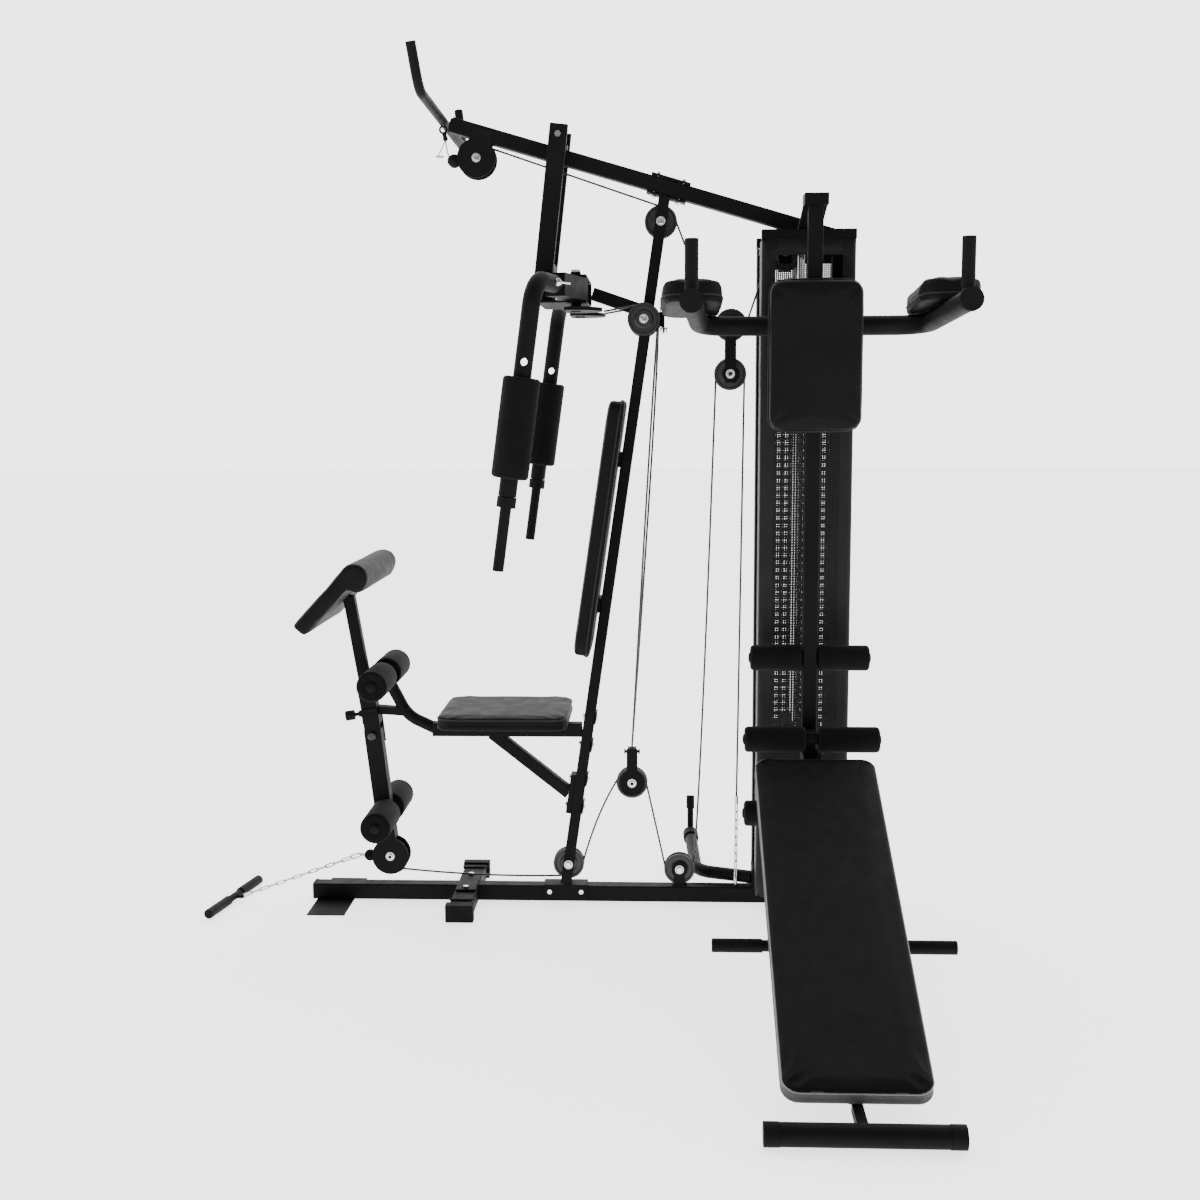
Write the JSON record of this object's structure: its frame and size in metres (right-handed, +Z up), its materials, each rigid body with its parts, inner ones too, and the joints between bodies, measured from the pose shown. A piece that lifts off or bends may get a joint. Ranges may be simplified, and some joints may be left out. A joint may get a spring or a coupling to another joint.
{
  "type": "multi station home gym",
  "caption": "Home gym with a weight tower, cable pull-down beam, press and butterfly arms, seat with leg lever and arm-curl pad, knee-raise and dip station, and a sit-up bench.",
  "frame": {"origin": "on the floor, under the foot of the main upright, on the base rail's centreline", "axes": "+X along the base rail towards the weight tower, +Y across it, away from the sit-up bench, +Z up; the user sits facing -X"},
  "size_m": [2.0297, 1.9439, 2.2653],
  "materials": {
    "black_steel": "satin powder coat",
    "weight_steel": "matte black",
    "bright_steel": "polished",
    "zinc": "zinc plated",
    "upholstery": "grained, semi-matte",
    "foam": "matte closed-cell foam",
    "rubber": "matte",
    "wheel_plastic": "satin",
    "cable_coat": "semi-gloss"
  },
  "bodies": {
    "frame": {"anchor_chain": "zinc", "back_pad": "upholstery", "base_rail": "black_steel", "chest_cables": "cable_coat", "cross_foot": "black_steel", "dip_bars": "black_steel", "dip_grips": "rubber", "elbow_pads": "upholstery", "end_caps": "rubber", "foam_rollers": "foam", "frame_bolts": "bright_steel", "frame_brackets": "black_steel", "guard_sheet_front": "black_steel", "guard_sheet_rear": "black_steel", "guide_rods": "bright_steel", "knee_raise_pad": "upholstery", "knee_raise_post": "black_steel", "lat_cable": "cable_coat", "lever_bracket": "black_steel", "low_cable": "cable_coat", "main_upright": "black_steel", "rear_stabiliser": "black_steel", "seat_brace": "black_steel", "seat_frame": "black_steel", "seat_pad": "upholstery", "top_beam": "black_steel", "tower_frame": "black_steel", "weight_stack_resting": "weight_steel"},
    "weights": {"weight_stack_lifted": "weight_steel"},
    "lat_handle": {"lat_bar": "black_steel", "lat_hook": "zinc"},
    "leg_arm": {"leg_lever": "black_steel", "leg_foam_rollers": "foam"},
    "row": {"row_handle": "black_steel", "row_chain": "zinc"},
    "leg_wheel": {"leg_pulley": "wheel_plastic"},
    "block": {"pulley_block": "black_steel"},
    "block_wheel_upper": {"block_pulley_upper": "wheel_plastic"},
    "block_wheel_lower": {"block_pulley_lower": "wheel_plastic"},
    "press": {"press_arm": "black_steel"},
    "arm_right": {"butterfly_arm_right": "black_steel", "arm_foam_right": "foam", "arm_handle_right": "black_steel"},
    "arm_left": {"butterfly_arm_left": "black_steel", "arm_foam_left": "foam", "arm_handle_left": "black_steel"},
    "chest_block": {"chest_pulley_frame": "black_steel"},
    "chest_wheel": {"chest_pulley": "wheel_plastic"},
    "bench": {"bench_pad": "upholstery", "bench_frame": "black_steel", "bench_rubber_parts": "rubber"},
    "preacher": {"preacher_post": "black_steel", "preacher_pad": "upholstery"},
    "knob": {"preacher_knob": "rubber"},
    "lat_wheel": {"lat_pulley": "wheel_plastic"},
    "top_wheel": {"top_pulley": "wheel_plastic"},
    "tower_wheel": {"tower_pulley": "wheel_plastic"},
    "base_wheel": {"base_pulley": "wheel_plastic"},
    "side_wheel": {"side_pulley": "wheel_plastic"},
    "mid_wheels": {"mid_pulleys": "wheel_plastic"}
  },
  "joints": [
    {"name": "weight_lift", "type": "slide", "parent": "frame", "child": "weights", "axis": [0, 0, 1], "range_m": [0, 0.55], "deforming": ["lat_cable"]},
    {"name": "lat_pull", "type": "slide", "parent": "frame", "child": "lat_handle", "axis": [-0.3, 0, -0.9539], "range_m": [0, 0.55]},
    {"name": "leg_swing", "type": "hinge", "parent": "frame", "child": "leg_arm", "pos_m": [-0.541, 0, 0.478], "axis": [0, 1, 0], "range_deg": [0, 70], "deforming": ["low_cable"]},
    {"name": "block_drop", "type": "slide", "parent": "frame", "child": "block", "axis": [0, 0, -1], "range_m": [0, 0.24]},
    {"name": "row_swing", "type": "hinge", "parent": "leg_arm", "child": "row", "pos_m": [-0.586, 0, 0.126], "axis": [0, 1, 0], "range_deg": [0, 60]},
    {"name": "press_swing", "type": "hinge", "parent": "frame", "child": "press", "pos_m": [-0.002, 0, 2.104], "axis": [0, 1, 0], "range_deg": [0, 45]},
    {"name": "butterfly_right", "type": "hinge", "parent": "press", "child": "arm_right", "pos_m": [0.045, 0.118, 1.7], "axis": [0, 0, 1], "range_deg": [0, 60], "deforming": ["chest_cables"]},
    {"name": "butterfly_left", "type": "hinge", "parent": "press", "child": "arm_left", "pos_m": [0.045, -0.118, 1.7], "axis": [0, 0, -1], "range_deg": [0, 60]},
    {"name": "chest_rise", "type": "slide", "parent": "frame", "child": "chest_block", "axis": [0, 0, 1], "range_m": [0, 0.08]},
    {"name": "bench_fold", "type": "hinge", "parent": "frame", "child": "bench", "pos_m": [0.657, -0.3423, 0.4827], "axis": [-1, 0, 0], "range_deg": [0, 20]},
    {"name": "preacher_height", "type": "slide", "parent": "frame", "child": "preacher", "axis": [-0.1616, 0, 0.9869], "range_m": [0, 0.08]},
    {"name": "knob_pull", "type": "slide", "parent": "frame", "child": "knob", "axis": [-0.9869, 0, -0.1616], "range_m": [0, 0.012], "stiffness_N_per_m": 800},
    {"name": "lat_wheel_spin", "type": "hinge", "parent": "frame", "child": "lat_wheel", "pos_m": [-0.225, 0, 2.0545], "axis": [0, 1, 0], "continuous": true},
    {"name": "top_wheel_spin", "type": "hinge", "parent": "frame", "child": "top_wheel", "pos_m": [0.26843, 0, 1.885], "axis": [0, 1, 0], "continuous": true},
    {"name": "tower_wheel_spin", "type": "hinge", "parent": "frame", "child": "tower_wheel", "pos_m": [0.6015, 0, 1.795], "axis": [0, 1, 0], "continuous": true},
    {"name": "base_wheel_spin", "type": "hinge", "parent": "frame", "child": "base_wheel", "pos_m": [0.00919, 0, 0.108], "axis": [0, 1, 0], "continuous": true},
    {"name": "side_wheel_spin", "type": "hinge", "parent": "frame", "child": "side_wheel", "pos_m": [0.323, 0, 0.094], "axis": [0, 1, 0], "continuous": true},
    {"name": "mid_wheels_spin", "type": "hinge", "parent": "frame", "child": "mid_wheels", "pos_m": [0.223, 0, 1.626], "axis": [0, 1, 0], "continuous": true},
    {"name": "leg_wheel_spin", "type": "hinge", "parent": "leg_arm", "child": "leg_wheel", "pos_m": [-0.499, 0, 0.127], "axis": [0, 1, 0], "continuous": true},
    {"name": "upper_block_wheel_spin", "type": "hinge", "parent": "block", "child": "block_wheel_upper", "pos_m": [0.458, 0, 1.611], "axis": [0, 1, 0], "continuous": true},
    {"name": "lower_block_wheel_spin", "type": "hinge", "parent": "block", "child": "block_wheel_lower", "pos_m": [0.457, 0, 1.48], "axis": [0, 1, 0], "continuous": true},
    {"name": "chest_wheel_spin", "type": "hinge", "parent": "chest_block", "child": "chest_wheel", "pos_m": [0.189, 0, 0.343], "axis": [0, 1, 0], "continuous": true}
  ],
  "couplings": [
    {"joint": "lat_pull", "follows": "weight_lift", "ratio": 1},
    {"joint": "block_drop", "follows": "leg_swing", "m_per_rad": 0.19},
    {"joint": "butterfly_left", "follows": "butterfly_right", "ratio": 1},
    {"joint": "chest_rise", "follows": "butterfly_right", "m_per_rad": 0.07}
  ]
}
